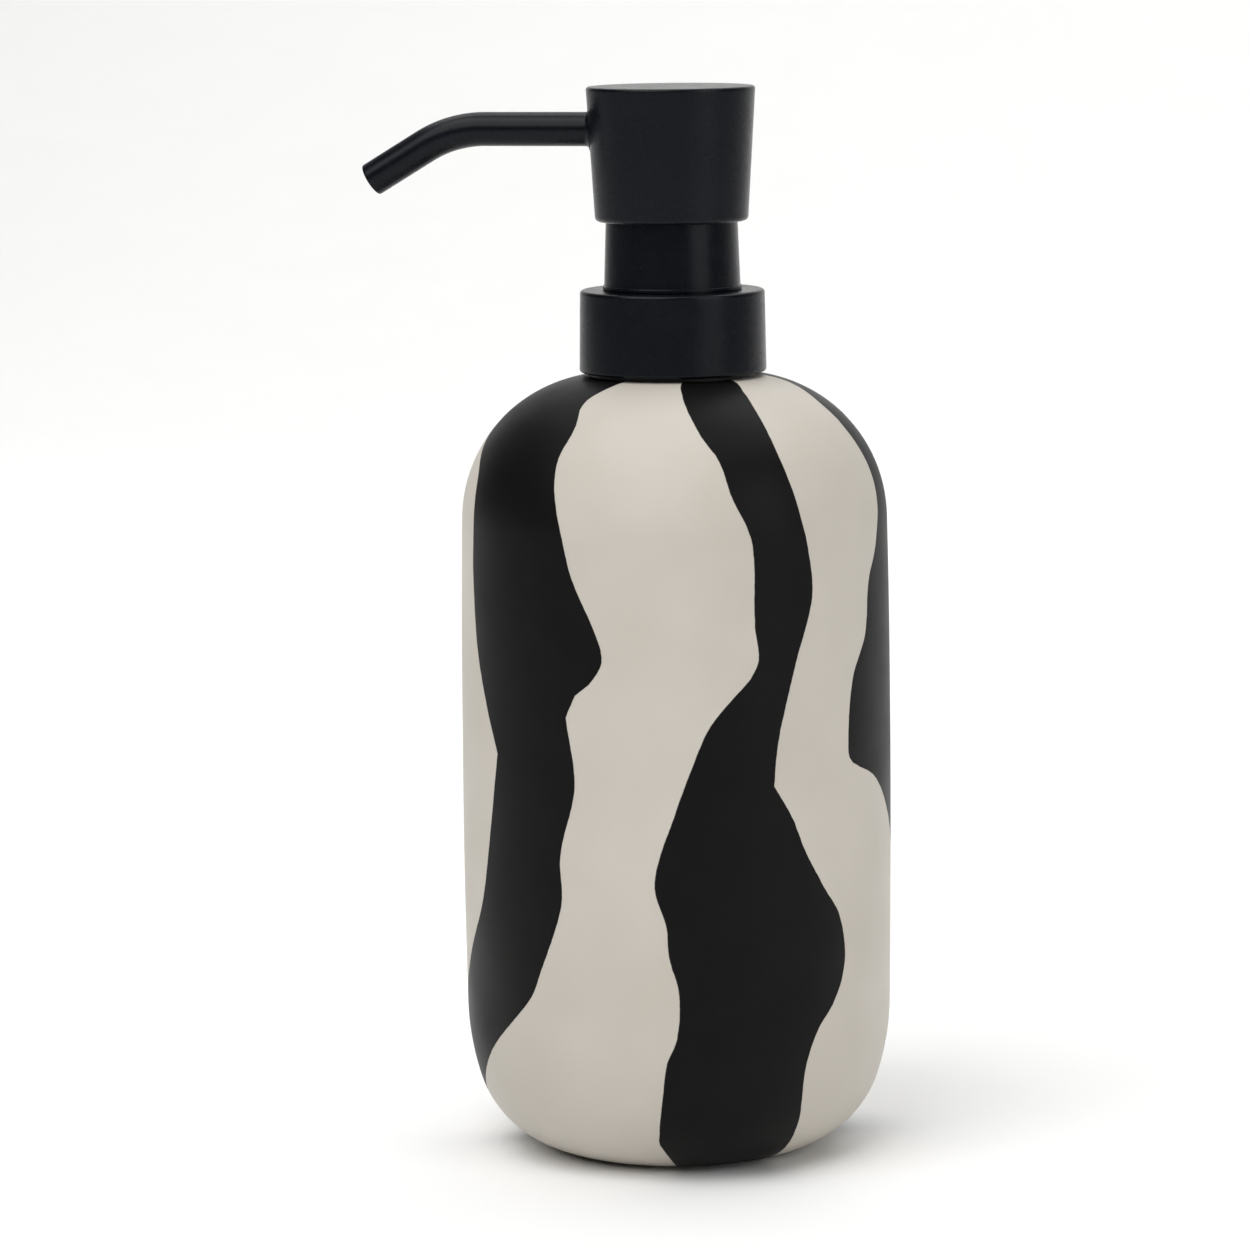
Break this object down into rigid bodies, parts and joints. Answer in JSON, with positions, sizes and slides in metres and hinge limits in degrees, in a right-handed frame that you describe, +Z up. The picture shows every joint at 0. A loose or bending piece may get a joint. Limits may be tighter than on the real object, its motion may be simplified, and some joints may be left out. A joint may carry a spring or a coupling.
{
  "type": "soap pump dispenser",
  "caption": "Round stoneware soap bottle with a screw-on hand pump: push head, bent side spout, spring, valves and dip tube.",
  "frame": {"origin": "middle of the bottle's flat foot, on the axis of the bottle and pump", "axes": "+Z up along the axis of the bottle and pump; the spout points along -X"},
  "size_m": [0.094, 0.076, 0.188],
  "materials": {
    "stoneware_glaze": "satin glaze, warm grey with hand-painted black bands",
    "neck_plastic": "moulded polypropylene",
    "seal_rubber": "moulded rubber",
    "collar_black": "satin black coating",
    "liner_plastic": "moulded polypropylene",
    "housing_plastic": "natural polypropylene",
    "sleeve_black": "satin black coating",
    "steel_ball": "polished",
    "tube_plastic": "extruded polyethylene",
    "spring_steel": "drawn wire",
    "piston_plastic": "moulded polyethylene",
    "stem_plastic": "moulded polypropylene",
    "head_black": "satin black coating",
    "head_plastic": "moulded ABS",
    "spout_black": "satin black coating"
  },
  "bodies": {
    "bottle": {"bottle": "stoneware_glaze", "neck_bush": "neck_plastic"},
    "pump_unit": {"neck_gasket": "seal_rubber", "pump_housing": "housing_plastic", "chaplet": "housing_plastic", "stem_seal": "seal_rubber", "guide_sleeve": "sleeve_black", "ball_cage": "housing_plastic", "dip_tube": "tube_plastic", "return_spring": "spring_steel"},
    "collar": {"collar_shell": "collar_black", "collar_liner": "liner_plastic"},
    "plunger": {"stem": "stem_plastic", "stem_plug": "stem_plastic"},
    "piston": {"piston": "piston_plastic"},
    "head": {"head_shell": "head_black", "head_core": "head_plastic", "spout_tube": "spout_black", "spout_seal": "seal_rubber"},
    "inlet_ball": {"inlet_ball": "steel_ball"}
  },
  "joints": [
    {"name": "pump_lift", "type": "slide", "parent": "bottle", "child": "pump_unit", "axis": [0, 0, 1], "range_m": [0, 0.0064]},
    {"name": "collar_turn", "type": "hinge", "parent": "pump_unit", "child": "collar", "pos_m": [0, 0, 0.145], "axis": [0, 0, 1], "range_deg": [0, 540]},
    {"name": "head_press", "type": "slide", "parent": "pump_unit", "child": "plunger", "axis": [0, 0, -1], "range_m": [0, 0.0105], "stiffness_N_per_m": 350, "springref_m": -0.012, "deforming": ["return_spring"]},
    {"name": "head_turn", "type": "hinge", "parent": "plunger", "child": "head", "pos_m": [0, 0, 0.175], "axis": [0, 0, 1], "continuous": true},
    {"name": "piston_float", "type": "slide", "parent": "plunger", "child": "piston", "axis": [0, 0, 1], "range_m": [0, 0.001]},
    {"name": "ball_lift", "type": "slide", "parent": "pump_unit", "child": "inlet_ball", "axis": [0, 0, 1], "range_m": [0, 0.0015]}
  ],
  "couplings": [
    {"joint": "pump_lift", "follows": "collar_turn", "m_per_rad": 0.00067322}
  ]
}
